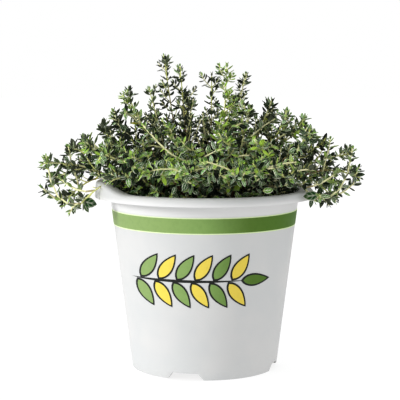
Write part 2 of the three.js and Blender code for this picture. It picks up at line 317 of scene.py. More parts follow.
def turned(profile, sides):
    """A closed shell about the Z axis: a disc is extruded and resized from one (radius, height)
    to the next."""
    radius, level = profile[0]
    shell = added(
        bpy.ops.mesh.primitive_circle_add, vertices=sides, radius=radius, fill_type="NGON",
        location=(0, 0, level),
    )
    bpy.ops.object.mode_set(mode="EDIT")
    bpy.ops.mesh.select_mode(type="FACE")
    for next_radius, next_level in profile[1:]:
        step = {"value": (0, 0, next_level - level)}
        bpy.ops.mesh.extrude_region_move(TRANSFORM_OT_translate=step)
        share = next_radius / radius
        bpy.ops.transform.resize(value=(share, share, 1))
        radius, level = next_radius, next_level
    outwards(shell)
    return shell


def curve_points(start, bend, end, steps):
    """Points of a quadratic curve after its start, as (radius, height) pairs."""
    points = []
    for k in range(1, steps + 1):
        t = k / steps
        points.append(tuple(
            (1 - t) ** 2 * a + 2 * t * (1 - t) * b + t ** 2 * c
            for a, b, c in zip(start, bend, end)
        ))
    return points


def add_object(name, data):
    thing = bpy.data.objects.new(name, data)
    bpy.context.scene.collection.objects.link(thing)
    return thing


def settle(piece, name, smooth_angle=0):
    """Names a piece, puts its place into its mesh and smooths its shading."""
    pick(piece)
    piece.name = piece.data.name = name
    bpy.ops.object.transform_apply()
    if smooth_angle:
        bpy.ops.object.shade_smooth_by_angle(angle=math.radians(smooth_angle))


def wear(piece, slot, *nodes, finish=None):
    """Gives a finished piece its material and its place in the frame."""
    if finish:
        piece.data.materials.clear()
        piece.data.materials.append(finish)
    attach(piece, "root")
    if nodes:
        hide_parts(*nodes)


# ---- Materials ----

class Value:
    """A number that changes over a surface. Arithmetic on it adds the Math nodes for it."""

    def __init__(self, nodes, socket):
        self.nodes = nodes
        self.socket = socket

    def math(self, operation, *others):
        return self.nodes.math(operation, self, *others)

    def __add__(self, other):
        return self.math("ADD", other)

    def __sub__(self, other):
        return self.math("SUBTRACT", other)

    def __mul__(self, other):
        return self.math("MULTIPLY", other)

    def __rsub__(self, other):
        return self.nodes.math("SUBTRACT", other, self)

    __radd__ = __add__
    __rmul__ = __mul__

    def step(self, low, high, **between):
        """0 under low, 1 over high, and smooth between."""
        settings = {"interpolation_type": "SMOOTHSTEP"}
        inputs = {"Value": self, "From Min": low, "From Max": high, **between}
        made = self.nodes.node("ShaderNodeMapRange", settings, inputs)
        return Value(self.nodes, made.outputs[0])


class Nodes:
    """The nodes of a material or of the world."""

    def __init__(self, owner):
        owner.use_nodes = True
        self.tree = owner.node_tree

    def node(self, kind, settings=None, inputs=None):
        made = self.tree.nodes.new(kind)
        for name, value in (settings or {}).items():
            if name == "stops":
                self.set_stops(made.color_ramp, value)
            else:
                setattr(made, name, value)
        self.feed(made, inputs or {})
        return made

    def feed(self, made, inputs):
        """Sets or links the sockets of a node."""
        for name, value in inputs.items():
            socket = made.inputs[name]
            if isinstance(value, Value):
                value = value.socket
            if isinstance(value, bpy.types.NodeSocket):
                self.tree.links.new(value, socket)
            elif isinstance(value, tuple) and len(value) == 3 and socket.type == "RGBA":
                socket.default_value = (*value, 1)
            else:
                socket.default_value = value

    @staticmethod
    def set_stops(ramp, stops):
        while len(ramp.elements) < len(stops):
            ramp.elements.new(1)
        for element, (position, colour) in zip(ramp.elements, stops):
            element.position = position
            element.color = (*colour, 1)

    def math(self, operation, *operands):
        made = self.node("ShaderNodeMath", {"operation": operation}, dict(enumerate(operands)))
        return Value(self, made.outputs[0])

    def split(self, vector):
        """The three numbers of a vector."""
        made = self.node("ShaderNodeSeparateXYZ", {}, {0: vector})
        return [Value(self, output) for output in made.outputs]

    def place(self, coordinates="Object"):
        return self.node("ShaderNodeTexCoord").outputs[coordinates]

    def seen_by_camera(self):
        return self.node("ShaderNodeLightPath").outputs["Is Camera Ray"]


class Finish(Nodes):
    """One material. What is the same all over it is set on its shader, and the rest is fed."""

    def __init__(self, name, **uniform):
        self.material = bpy.data.materials.new(name)
        super().__init__(self.material)
        self.shade(**uniform)

    def shade(self, **surface):
        named = {words.replace("_", " "): value for words, value in surface.items()}
        self.feed(self.tree.nodes["Principled BSDF"], named)

    def cover(self, colour, roughness, relief, strength, depth):
        """Feeds the shader a colour, a roughness and a relief."""
        inputs = {"Height": relief, "Strength": strength, "Distance": depth}
        bump = self.node("ShaderNodeBump", {}, inputs).outputs[0]
        self.shade(Base_Color=colour, Roughness=roughness, Normal=bump)
        return self.material

    def attribute(self, name):
        made = self.node("ShaderNodeAttribute", {"attribute_name": name})
        return Value(self, made.outputs["Fac"])

    def noise(self, per_metre, stretch=None, **settings):
        place = self.place()
        if stretch:
            inputs = {"Vector": place, "Scale": stretch}
            place = self.node("ShaderNodeMapping", {}, inputs).outputs[0]
        inputs = {"Vector": place, "Scale": per_metre, "Detail": 3, "Roughness": 0.55, **settings}
        return Value(self, self.node("ShaderNodeTexNoise", {}, inputs).outputs["Fac"])

    def mix(self, factor, a, b, blend="MIX"):
        settings = {"data_type": "RGBA", "clamp_factor": True, "blend_type": blend}
        return self.node("ShaderNodeMix", settings, {0: factor, 6: a, 7: b}).outputs[2]

    def ramp(self, value, stops):
        return self.node("ShaderNodeValToRGB", {"stops": stops}, {"Fac": value}).outputs[0]


def pot_plastic():
    """Satin white moulded plastic with a fine grain and faint scuffs, painted lighter under the
    rim as painted light against the rim's shade, and painted dark inside the wall as painted
    shade."""
    finish = Finish("white_pot_plastic", IOR=1.49, Specular_IOR_Level=0.35)
    mix, noise = finish.mix, finish.noise
    cloud = noise(38, Detail=2)
    grain = noise(2600, Detail=2)
    scuffs = noise(900, Detail=4, stretch=(1, 1, 0.12)).step(0.66, 0.74)
    colour = mix(cloud.step(0.35, 0.7), (0.625, 0.635, 0.635), (0.66, 0.66, 0.655))
    colour = mix(scuffs * 0.18, colour, (0.62, 0.62, 0.60))
    x, y, z = finish.split(finish.place())
    # A lighter band under the rim: painted light that cancels the shade the rim casts on it.
    painted_collar_light = z.step(87 * MM, 90 * MM) * (1 - z.step(95 * MM, 98 * MM))
    colour = mix(painted_collar_light, colour, (0.76, 0.76, 0.76))
    # The inside of the wall is painted dark, up to a ragged line near the rim: painted shade.
    radius = (x * x + y * y).math("SQRT")
    depth = z * ((NECK_RADIUS - FOOT_RADIUS) / NECK_LEVEL) + FOOT_RADIUS - radius
    above_painted_shade = (z + cloud * (3 * MM)).step(98 * MM, 101 * MM)
    painted_inner_shade = depth.step(0.4 * MM, 0.8 * MM) * (1 - above_painted_shade)
    colour = mix(painted_inner_shade * 0.9, colour, (0.05, 0.036, 0.025))
    relief = grain * 0.6 + cloud * 0.8
    return finish.cover(colour, 0.46 + cloud * 0.1 + scuffs * 0.12, relief, 0.12, 0.06 * MM)


def ink(name, *stops):
    """Printed ink with a faint screen mottle. Its colour changes across the pot by the stops; on
    the print they darken it towards the right, away from the lamp, as painted shade.
    """
    finish = Finish(name, IOR=1.47, Specular_IOR_Level=0.2)
    mottle = finish.noise(420)
    # Left to right across the pot; the print's stops darken towards the right as painted shade.
    across_pot = finish.split(finish.place())[0] * (0.5 / NECK_RADIUS) + 0.5
    tone = finish.ramp(across_pot, stops)
    colour = finish.mix(mottle.step(0.42, 0.75), tone, (0.93, 0.94, 0.93), "MULTIPLY")
    return finish.cover(colour, 0.48 + mottle * 0.12, mottle, 0.05, 0.02 * MM)


def soil_finish():
    """Dark peat with paler bark fibres and a few grey grains."""
    finish = Finish("potting_soil")
    mix, noise = finish.mix, finish.noise
    clods = noise(420, Detail=5, Roughness=0.65)
    fibres = noise(900, Distortion=1.5, stretch=(1, 0.25, 1))
    peat = finish.ramp(clods, [
        (0.30, (0.010, 0.007, 0.005)), (0.52, (0.030, 0.020, 0.013)),
        (0.72, (0.075, 0.047, 0.028)),
    ])
    colour = mix(fibres.step(0.62, 0.72), peat, (0.14, 0.085, 0.045))
    return finish.cover(colour, 0.82 + clods * 0.15, clods + fibres * 0.4, 0.7, 0.6 * MM)


def leaf_finish():
    """Small firm leaves: deep green and greyer when old, yellow-green in the crowns, with a pale
    rib, pale side veins and a pale edge made paler still as painted highlight. Leaves low on their
    stems, deep in the plant, are painted near black as painted shade."""
    finish = Finish("thyme_leaf", IOR=1.45, Specular_IOR_Level=0.06)
    mix, noise = finish.mix, finish.noise
    age, tint, underside = (finish.attribute(name) for name in ("age", "tint", "underside"))
    uv = finish.node("ShaderNodeUVMap", {"uv_map": "LeafUV"}).outputs[0]
    across_leaf, along, _ = finish.split(uv)
    middle = (across_leaf - 0.5).math("ABSOLUTE") * 2
    mottle = noise(900)
    young = (age + (tint - 0.5) * 0.5).step(0.72, 1.0)
    old_colour = finish.ramp(tint, [
        (0.0, (0.0015, 0.006, 0.001)), (0.28, (0.008, 0.026, 0.003)),
        (0.48, (0.043, 0.104, 0.023)), (0.72, (0.175, 0.32, 0.085)),
        (0.94, (0.46, 0.59, 0.17)), (0.97, (0.44, 0.31, 0.15)),
    ])
    patches = (noise(130, Detail=1) + (tint - 0.4) * 0.3).step(0.53, 0.7)
    patch_colour = mix(patches, (0.7, 1.04, 1.12), (0.95, 1.15, 0.4))
    old_colour = mix(1.0, old_colour, patch_colour, "MULTIPLY")
    # Leaves low on the stems, deep in the plant, are painted near black: painted shade.
    old_colour = mix(age.step(0.05, 0.5), (0.001, 0.004, 0.001), old_colour)
    young_colour = mix(tint, (0.09, 0.31, 0.02), (0.36, 0.58, 0.08))
    colour = mix(young, old_colour, young_colour)
    colour = mix(mottle.step(0.5, 0.8) * 0.08 * age, colour, (0.20, 0.28, 0.17))
    # Pale rib, side veins and edge: partly the leaf's own, partly painted highlight in place of
    # its gloss.
    veins = (along * 22 - middle * 7).math("SINE").step(0.3, 1.0)
    rib = 1 - middle.step(0.06, 0.24)
    margin = middle.step(0.7, 0.93)
    pale = veins * 0.46 + rib * 0.8 * (1 - along.step(0.6, 1.0)) + margin
    pale = pale * (0.05 + 0.95 * tint.step(0.25, 0.6))
    pale_line_and_highlight_colour = mix(tint.step(0.82, 0.94), (1.0, 1.0, 0.86), (0.70, 0.84, 0.22))
    colour = mix(pale * age.step(0.1, 0.7) * (1 - young * 0.6), colour, pale_line_and_highlight_colour)
    stalk = (1 - along.step(0.02, 0.24)) * age.step(0.15, 0.6)
    colour = mix(stalk * 0.75, colour, (0.82, 0.86, 0.44))
    base = young * (1 - along.step(0.05, 0.4))
    colour = mix(base * 0.8, colour, (0.76, 0.88, 0.24))
    colour = mix(underside * age.step(0.1, 0.6) * 0.5, colour, (0.19, 0.215, 0.15))
    glands = noise(5200, Detail=1)
    relief = mottle * 0.4 + middle * 0.6 - veins * 0.35 + glands * 0.2
    return finish.cover(colour, 0.4 + mottle * 0.2 + underside * 0.3, relief, 0.4, 0.12 * MM)


def stem_finish():
    """Thin stems: red-brown and woody low down, pale yellow-green where they still grow."""
    finish = Finish("thyme_stem", IOR=1.42)
    mix, noise = finish.mix, finish.noise
    age, tint = finish.attribute("age"), finish.attribute("tint")
    bark = noise(1400, Detail=4, stretch=(1, 1, 0.2))
    woody = mix(bark, (0.035, 0.020, 0.012), (0.16, 0.085, 0.05))
    red = mix(tint, (0.16, 0.048, 0.036), (0.50, 0.31, 0.16))
    green = mix(tint, (0.74, 0.78, 0.26), (0.98, 0.95, 0.62))
    colour = mix(age.step(0.05, 0.35), woody, red)
    colour = mix((age + tint * 0.3).step(0.3, 0.65), colour, green)
    return finish.cover(colour, 0.5 + bark * 0.2, bark, 0.5, 0.08 * MM)


# ---- Pot ----

def wall_radius(level):
    """Outside of the tapered wall."""
    return FOOT_RADIUS + level / NECK_LEVEL * (NECK_RADIUS - FOOT_RADIUS)


def pot_profile():
    """The wall in section. A curve of the rim has a start, a point to bend towards and an end."""
    ring_inside = FOOT_RADIUS - FOOT_RING
    skirt_end = POT_HEIGHT - SKIRT_DROP
    under_top = POT_HEIGHT - WALL
    floor_top = FLOOR_LIFT + WALL
    neck, inner_neck = (NECK_RADIUS, NECK_LEVEL), (NECK_RADIUS - WALL, NECK_LEVEL)
    crest, under_crest = (RIM_CREST_RADIUS, POT_HEIGHT), (RIM_CREST_RADIUS, under_top)
    skirt_inside, skirt_outside = (RIM_RADIUS - WALL, skirt_end), (RIM_RADIUS, skirt_end)
    lip_edge = (MOUTH_RADIUS - 0.2 * MM, POT_HEIGHT - 0.9 * MM)
    return [
        (ring_inside, FLOOR_LIFT), (ring_inside, 0), (FOOT_RADIUS, 0),
        *((wall_radius(share * NECK_LEVEL), share * NECK_LEVEL) for share in WALL_RINGS),
        neck,
        *curve_points(neck, (MOUTH_RADIUS, under_top), under_crest, 7),
        *curve_points(under_crest, (RIM_RADIUS - WALL, under_top), skirt_inside, 6),
        skirt_outside,
        *curve_points(skirt_outside, (RIM_RADIUS, POT_HEIGHT), crest, 9),
        *curve_points(crest, (MOUTH_RADIUS + 0.6 * MM, POT_HEIGHT), lip_edge, 7),
        *curve_points(lip_edge, (MOUTH_RADIUS - 1.2 * MM, NECK_LEVEL + 3 * MM), inner_neck, 4),
        (wall_radius(floor_top + FLOOR_CORNER) - WALL, floor_top + FLOOR_CORNER),
        (wall_radius(floor_top) - WALL - FLOOR_CORNER, floor_top),
    ]


def notch_cutter(angle):
    """A block through the foot ring, as far below the foot as above it, narrowed at its top."""
    block = added(bpy.ops.mesh.primitive_cube_add, size=1)
    width = 2 * NOTCH_WIDTH - NOTCH_TOP_WIDTH
    block.dimensions = (width, 4 * FOOT_RING, 2 * NOTCH_HEIGHT)
    block.location = (0, -FOOT_RADIUS, 0)
    bpy.ops.object.transform_apply()
    edit(block)
    select_parts(block, "polygons", lambda face: face.normal.z > 0.9)
    bpy.ops.transform.resize(value=(NOTCH_TOP_WIDTH / width, 1, 1))
    bpy.ops.object.mode_set(mode="OBJECT")
    block.rotation_euler = (0, 0, math.radians(angle + 90))
    bpy.ops.object.transform_apply()
    return block


def drain_cutter(angle):
    first_place = Vector((DRAIN_RING_RADIUS, 0, FLOOR_LIFT))
    place = Matrix.Rotation(math.radians(angle), 3, "Z") @ first_place
    hole = added(
        bpy.ops.mesh.primitive_cylinder_add, vertices=28, radius=DRAIN_RADIUS, depth=6 * WALL,
        location=place,
    )
    bpy.ops.object.transform_apply()
    return hole


def make_pot():
    pot = turned(pot_profile(), POT_SIDES)
    cutters = [notch_cutter(FIRST_NOTCH_ANGLE + 360 * k / NOTCHES) for k in range(NOTCHES)]
    cutters += [drain_cutter(360 * k / DRAIN_HOLES) for k in range(DRAIN_HOLES)]
    for cutter in cutters:
        apply_modifier(pot, "BOOLEAN", object=cutter, operation="DIFFERENCE", solver="EXACT")
        bpy.data.objects.remove(cutter)
    edit(pot)
    select_parts(pot, "vertices", lambda corner: corner.co.z < NECK_LEVEL - 0.1 * MM)
    bpy.ops.mesh.hide()
    left_end = -0.93 * RIM_RADIUS
    for lift, above in ((RIM_LIFT, NECK_LEVEL), (RIM_SWELL, POT_HEIGHT + RIM_LIFT - WALL)):
        select_parts(
            pot, "vertices", lambda corner: corner.co.z > above and corner.co.x < left_end)
        bpy.ops.transform.translate(
            value=(0, 0, lift), use_proportional_edit=True, proportional_edit_falloff="SMOOTH",
            proportional_size=RIM_LIFT_REACH,
        )
    bpy.ops.mesh.reveal(select=False)
    apply_modifier(
        pot, "BEVEL", width=EDGE_ROUNDING, segments=2, limit_method="ANGLE",
        angle_limit=math.radians(40),
    )
    settle(pot, "moulded_pot", smooth_angle=35)
    wear(pot, "pot_plastic", "pot", finish=pot_plastic())
    return pot


# ---- Print on the pot ----

def band(name, low, high, lift, finish):
    """A printed ring on the tapered wall: a cone without ends, given the ink's thickness."""
    ring = added(
        bpy.ops.mesh.primitive_cone_add, vertices=POT_SIDES, radius1=wall_radius(low) + lift,
        radius2=wall_radius(high) + lift, depth=high - low, end_fill_type="NOTHING",
        location=(0, 0, (low + high) / 2),
    )
    apply_modifier(ring, "SOLIDIFY", thickness=INK, offset=1)
    outwards(ring)
    settle(ring, name, smooth_angle=35)
    wear(ring, "pot_plastic", finish=finish)


def flat_leaf(size, place, turn):
    """A flat leaf, pointed at both ends and widest before its middle."""
    columns = 12
    leaf = added(
        bpy.ops.mesh.primitive_grid_add, x_subdivisions=columns, y_subdivisions=1, size=1,
        rotation=(math.pi / 2, 0, 0),
    )
    bpy.ops.object.transform_apply()
    edit(leaf)
    for column in range(columns + 1):
        share = column / columns
        width = math.sin(math.pi * share ** 0.8) ** 0.85 if 0 < column < columns else 0
        select_parts(leaf, "vertices", lambda corner: abs(corner.co.x - (share - 0.5)) < 0.01)
        bpy.ops.transform.resize(value=(1, 1, width))
    bpy.ops.mesh.select_all(action="SELECT")
    bpy.ops.mesh.remove_doubles(threshold=0.001)
    bpy.ops.object.mode_set(mode="OBJECT")
    leaf.scale = (size[0], 1, size[1])
    leaf.rotation_euler = (0, -math.radians(turn), 0)
    leaf.location = (place[0], 0, place[1])
    bpy.ops.object.transform_apply()
    return leaf


def print_on(pot, shape, lift, finish):
    """Cuts a flat shape into strips, lays it on the pot's wall and gives it ink's thickness."""
    edit(shape)
    half = max(abs(corner.co.x) for corner in shape.data.vertices)
    strips = int(half / PRINT_STRIP)
    for k in range(-strips, strips + 1):
        bpy.ops.mesh.select_all(action="SELECT")
        bpy.ops.mesh.bisect(plane_co=(k * PRINT_STRIP, 0, 0), plane_no=(1, 0, 0))
    bpy.ops.object.mode_set(mode="OBJECT")
    shape.location = (SPRAY_PLACE[0], -2 * NECK_RADIUS, SPRAY_PLACE[1])
    bpy.ops.object.transform_apply()
    apply_modifier(
        shape, "SHRINKWRAP", target=pot, wrap_method="PROJECT", use_project_y=True,
        use_positive_direction=True, use_negative_direction=False, offset=lift,
    )
    apply_modifier(shape, "SOLIDIFY", thickness=INK, offset=0)
    outwards(shape)
    shape.data.materials.append(finish)


def make_front_print(pot, green, dark, yellow):
    """A plain spray: a dark twig with dark-edged leaves, green and yellow in turn."""
    twig = [(flat_leaf((SPRAY_LENGTH, TWIG_WIDTH), (0, 0), 0), dark)]
    rims, blades = [], []

    def add_leaf(size, place, turn, blade_ink):
        rims.append((flat_leaf(size, place, turn), dark))
        inner_size = [whole - edge for whole, edge in zip(size, DARK_EDGE)]
        blades.append((flat_leaf(inner_size, place, turn), blade_ink))

    step = SPRAY_LENGTH / (SPRAY_PAIRS + 0.4)
    for k in range(SPRAY_PAIRS):
        for side in (1, -1):
            x = (k + 0.5 + 0.1 * side) * step - SPRAY_LENGTH / 2 + 3.8 * MM
            place = (x, side * SPRAY_LEAF[1])
            add_leaf(SPRAY_LEAF, place, side * SPRAY_LEAN, (green, yellow)[k % 2])
    add_leaf(SPRAY_END_LEAF, (SPRAY_LENGTH / 2 + 4 * MM, 0), 0, green)
    for layer, shapes in enumerate((twig, rims, blades)):
        for number, (shape, finish) in enumerate(shapes):
            print_on(pot, shape, (1 + 2 * layer + number / len(shapes)) * INK, finish)
    spray = twig[0][0]
    pick(spray)
    for leaf, _ in rims + blades:
        leaf.select_set(True)
    bpy.ops.object.join()
    settle(spray, "front_spray_print", smooth_angle=35)
    wear(spray, "pot_plastic")


# ---- Soil ----

def make_soil():
    def radius(level):
        return wall_radius(level) - WALL - CLEARANCE

    bottom, corner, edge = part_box("soil")[0].z, 2 * MM, radius(SOIL_LEVEL)
    profile = [
        (radius(bottom) - corner, bottom), (radius(bottom + corner), bottom + corner),
        (edge, SOIL_LEVEL - 1 * MM),
        *((edge * share, SOIL_LEVEL + SOIL_MOUND * (1 - share ** 2)) for share in SOIL_RINGS),
    ]
    soil = turned(profile, 96)
    edit(soil)
    select_parts(soil, "polygons", lambda face: face.center.z > SOIL_LEVEL - 0.5 * MM)
    bpy.ops.mesh.subdivide(number_cuts=1)
    bpy.ops.transform.vertex_random(offset=SOIL_ROUGHNESS, uniform=0.0, normal=1.0, seed=4)
    settle(soil, "soil_surface", smooth_angle=60)
    wear(soil, "soil", "soil", finish=soil_finish())


def crumb_shape():
    """One rough clod, modelled once and copied."""
    crumb = added(bpy.ops.mesh.primitive_ico_sphere_add, subdivisions=1, radius=1)
    edit(crumb, "SELECT")
    bpy.ops.transform.vertex_random(offset=0.35, seed=2)
    bpy.ops.object.mode_set(mode="OBJECT")
    points = np.array([corner.co for corner in crumb.data.vertices])
    faces = [tuple(face.vertices) for face in crumb.data.polygons]
    bpy.data.objects.remove(crumb)
    return points, faces


def make_crumbs():
    """Bark, peat and pale grains lying on the soil, in one piece with two materials."""
    draw = random.Random(CRUMB_SEED)
    shape, shape_faces = crumb_shape()
    points, faces, kinds = [], [], []
    soil_radius = wall_radius(SOIL_LEVEL)
    for _ in range(CRUMBS):
        radius = math.sqrt(draw.random()) * (soil_radius - WALL - 3 * MM)
        angle = draw.uniform(0, math.tau)
        size = draw.uniform(0.5, 1.5) * MM
        stretch = Vector((1, draw.uniform(0.4, 1), draw.uniform(0.35, 0.7))) * size
        turn = Matrix.Rotation(draw.uniform(0, math.tau), 3, "Z")
        level = SOIL_LEVEL + SOIL_MOUND * (1 - (radius / soil_radius) ** 2) + 0.4 * size
        place = Vector((radius * math.cos(angle), radius * math.sin(angle), level))
        start = len(points)
        points += [place + turn @ (Vector(point) * stretch) for point in shape]
        faces += [tuple(start + corner for corner in face) for face in shape_faces]
        kinds += [int(draw.random() < PALE_CRUMBS)] * len(shape_faces)
    mesh = bpy.data.meshes.new("soil_crumbs")
    mesh.from_pydata(points, [], faces)
    mesh.materials.append(bpy.data.materials["potting_soil"])
    mesh.materials.append(ink("pale_grain", (0, (0.26, 0.24, 0.20)), (1, (0.30, 0.27, 0.22))))
    mesh.polygons.foreach_set("material_index", kinds)
    crumbs = add_object("soil_crumbs", mesh)
    outwards(crumbs)
    settle(crumbs, "soil_crumbs", smooth_angle=50)
    wear(crumbs, "soil")


# ---- Leaf and stalk shapes, modelled once ----

class Shape:
    """A modelled leaf or stalk as arrays, with its faces laid out in a cell of a map for its
    colours: small faces in a strip at the foot, the others above it."""

    def __init__(self, piece, uv_name=None):
        mesh = piece.data
        self.points = np.array([corner.co for corner in mesh.vertices])
        self.faces = [list(face.vertices) for face in mesh.polygons]
        self.normals = np.array([face.normal for face in mesh.polygons])
        if uv_name:
            own = mesh.uv_layers[uv_name].data
            self.uv = [[tuple(own[k].uv) for k in face.loop_indices] for face in mesh.polygons]
            edges = [k for k, normal in enumerate(self.normals) if abs(normal[2]) < 0.3]
            self.cell = self.lay_out(edges, len(edges), left=0.02, under_left=0.52, width=0.46)
        else:
            self.uv = [
                [self.round_and_up(corner, face) for corner in face.vertices]
                for face in mesh.polygons
            ]
            ends = [k for k, normal in enumerate(self.normals) if abs(normal[2]) > 0.9]
            self.cell = self.lay_out(ends, 8, left=0.08, under_left=0.08, width=0.84)
        bpy.data.objects.remove(piece)

    def round_and_up(self, corner, face):
        """A stalk's coordinates: the share of a turn, unbroken over the face, and the height."""
        x, y, z = self.points[corner]
        share = math.atan2(y, x) / math.tau % 1
        middle = math.atan2(face.center.y, face.center.x) / math.tau % 1
        return (share + round(middle - share), z)

    def lay_out(self, small, places, left, under_left, width):
        cell = []
        for k, corners in enumerate(self.uv):
            if k in small:
                cell.append(self.strip_place(small.index(k), places, len(corners)))
                continue
            start = left if self.normals[k][2] > 0 else under_left
            cell.append([(start + width * u, 0.1 + 0.88 * v) for u, v in corners])
        return cell

    @staticmethod
    def strip_place(number, count, corners):
        angles = [math.tau * (k + 0.5) / corners for k in range(corners)]
        middle, half = (number + 0.5) / count, 0.4 / count
        return [(middle + half * math.cos(a), 0.04 + 0.025 * math.sin(a)) for a in angles]


def model_leaf(columns, widths, heights, thickness):
    """A leaf one unit long and wide: a grid, grooved and rolled by the heights of its columns,
    narrowed row by row, then given a thickness."""
    rows = len(widths) - 1
    leaf = added(
        bpy.ops.mesh.primitive_grid_add, x_subdivisions=columns, y_subdivisions=rows, size=1,
        location=(0, 0.5, 0), calc_uvs=True,
    )
    bpy.ops.object.transform_apply()
    edit(leaf)
    for step, height in enumerate(heights):
        place = step / columns
        select_parts(leaf, "vertices", lambda corner: abs(abs(corner.co.x) - place) < 0.01)
        bpy.ops.transform.translate(value=(0, 0, height))
    for row, width in enumerate(widths):
        place = row / rows
        select_parts(leaf, "vertices", lambda corner: abs(corner.co.y - place) < 0.01)
        bpy.ops.transform.resize(
            value=(width, 1, 0.4 + 0.6 * width), center_override=(0, place, 0),
        )
    apply_modifier(leaf, "SOLIDIFY", thickness=thickness, offset=-1)
    return Shape(leaf, leaf.data.uv_layers[0].name)


def model_stalk(sides, rings):
    """A stalk one unit long and one unit in radius, with closed ends."""
    return Shape(turned([(1, k / rings) for k in range(rings + 1)], sides))


# ---- Stems ----

class Path:
    """A curve through control points, with the length measured along it."""

    SAMPLES = 24

    def __init__(self, *controls):
        self.controls = controls
        marks = [self.at(k / self.SAMPLES) for k in range(self.SAMPLES + 1)]
        self.length = sum((b - a).length for a, b in zip(marks, marks[1:]))

    def at(self, t):
        points = list(self.controls)
        while len(points) > 1:
            points = [a.lerp(b, t) for a, b in zip(points, points[1:])]
        return points[0]

    def heading(self, t):
        before, after = max(0.0, t - 0.01), min(1.0, t + 0.01)
        return (self.at(after) - self.at(before)).normalized()


def between(pair, share):
    return pair[0] + share * (pair[1] - pair[0])


def across(direction):
    """A level direction across another, or +X where that one is upright."""
    side = UP.cross(direction)
    return Vector((1, 0, 0)) if side.length < 0.05 else side.normalized()


def outward(place):
    """Away from the middle of the plant, which is where the light comes from."""
    return (place - PLANT_MIDDLE).normalized()


def stem_path(tip, growth):
    x, y, z = tip
    reach = math.hypot(x, y)
    root_radius = (
        ROOT_RADIUS_MIN + ROOT_RADIUS_PER_REACH * reach + ROOT_RADIUS_PER_DROP * (HIGHEST_TIP - z)
    )
    angle = math.atan2(y, x) + math.radians(SWIRL)
    root = Vector((root_radius * math.cos(angle), root_radius * math.sin(angle), SOIL_LEVEL / MM))
    end = Vector(tip)
    arch = ARCH_PER_REACH * reach + ARCH_PER_DROOP * max(0, DROOP_LEVEL - z)
    low = root.lerp(end, 1 / 3) + arch * UP
    high = root.lerp(end, 2 / 3) + 0.8 * arch * UP
    end += growth * (end - high).normalized()
    return Path(*(point * MM for point in (root, low, high, end)))


def rising_path(start, way, size, rise):
    """A side shoot that leaves its stem one way and turns upwards."""
    return Path(start, start + 0.5 * size * way, start + 0.85 * size * way + rise * size * UP)


def main_shoots(stem):
    """The shoots that the solid has too: left and right in turn, shorter towards the tip."""
    first, last = SHOOTS_FROM_TO
    count = round(stem.length * (last - first) / SHOOT_SPACING) + 1
    shoots = []
    for k in range(count):
        share = k / max(1, count - 1)
        at = between(SHOOTS_FROM_TO, share)
        along = stem.heading(at)
        way = 0.6 * along + 0.8 * (across(along) * (-1) ** k)
        size = between(LONGEST_SHORTEST, share)
        shoots.append((at, rising_path(stem.at(at), way, size, 0.35)))
    return shoots


def small_shoots(stem, draw, habit):
    """More and shorter shoots all round the stem, the lowest of them close above the soil."""
    shoots = []
    at = habit.bare
    while at < 0.93:
        start, along = stem.at(at), stem.heading(at)
        side = Matrix.Rotation(draw.uniform(0, math.tau), 3, along) @ across(along)
        outwards_way = Vector((start.x, start.y, 0)).normalized()
        way = (0.75 * along + 0.75 * side + 0.35 * outwards_way).normalized()
        size = draw.uniform(0.6, 1.05) * (21 - 16 * at) * MM
        shoots.append((at, rising_path(start, way, size, 0.3)))
        at += habit.shoots * draw.uniform(0.75, 1.25)
    return shoots


def low_shoots(stem, draw):
    """Two short shoots close above the soil, spread level towards the rim."""
    shoots = []
    for _ in range(2):
        start = stem.at(draw.uniform(0.06, 0.16))
        level_way = Vector((start.x, start.y, 0)).normalized()
        way = Matrix.Rotation(draw.uniform(-0.9, 0.9), 3, "Z") @ level_way
        room = MOUTH_RADIUS - 4 * MM - math.hypot(start.x, start.y)
        size = min(22 * MM, max(9 * MM, room)) * draw.uniform(0.75, 1)
        middle = start + size * (0.5 * way + 0.2 * UP)
        end = start + size * (way + draw.uniform(0.05, 0.35) * UP)
        shoots.append(Path(start, middle, end))
    return shoots


def creeping_shoots(stem, draw):
    """Two long thin shoots that leave a low sprig sideways and lie over its neighbours."""
    shoots = []
    for way in (1, -1):
        at = draw.uniform(0.45, 0.75)
        start, side = stem.at(at), across(stem.heading(at)) * way
        size = draw.uniform(16, 25) * MM
        middle = start + size * (0.4 * side + 0.4 * outward(start) + 0.12 * UP)
        end = start + size * (
            0.85 * side + 0.5 * outward(start) + draw.uniform(-0.2, 0.25) * UP)
        shoots.append(Path(start, middle, end))
    return shoots


# ---- Sprigs ----

BIG_LEAF = model_leaf(4, (0.14, 0.72, 1.0, 0.96, 0.68, 0.14), (-0.10, 0.04, -0.15), 0.075)
SMALL_LEAF = model_leaf(2, (0.16, 0.90, 1.0, 0.66, 0.14), (-0.10, 0.05), 0.09)
LONG_STALK = model_stalk(6, STALK_RINGS)
SHORT_STALK = model_stalk(5, 4)


def leaf_spot(path, t, turn):
    """The place, heading and side of a pair of leaves, or None where it is rubbed off."""
    place, heading = path.at(t), path.heading(t)
    reach = math.hypot(place.x, place.y)
    lift = RIM_LIFT if place.x < -0.7 * RIM_RADIUS else 0
    if RUBBED_INSIDE < reach < RUBBED_OUTSIDE + lift and place.z < RUBBED_BELOW + lift:
        return None
    return place, heading, Matrix.Rotation(turn, 3, heading) @ across(heading)


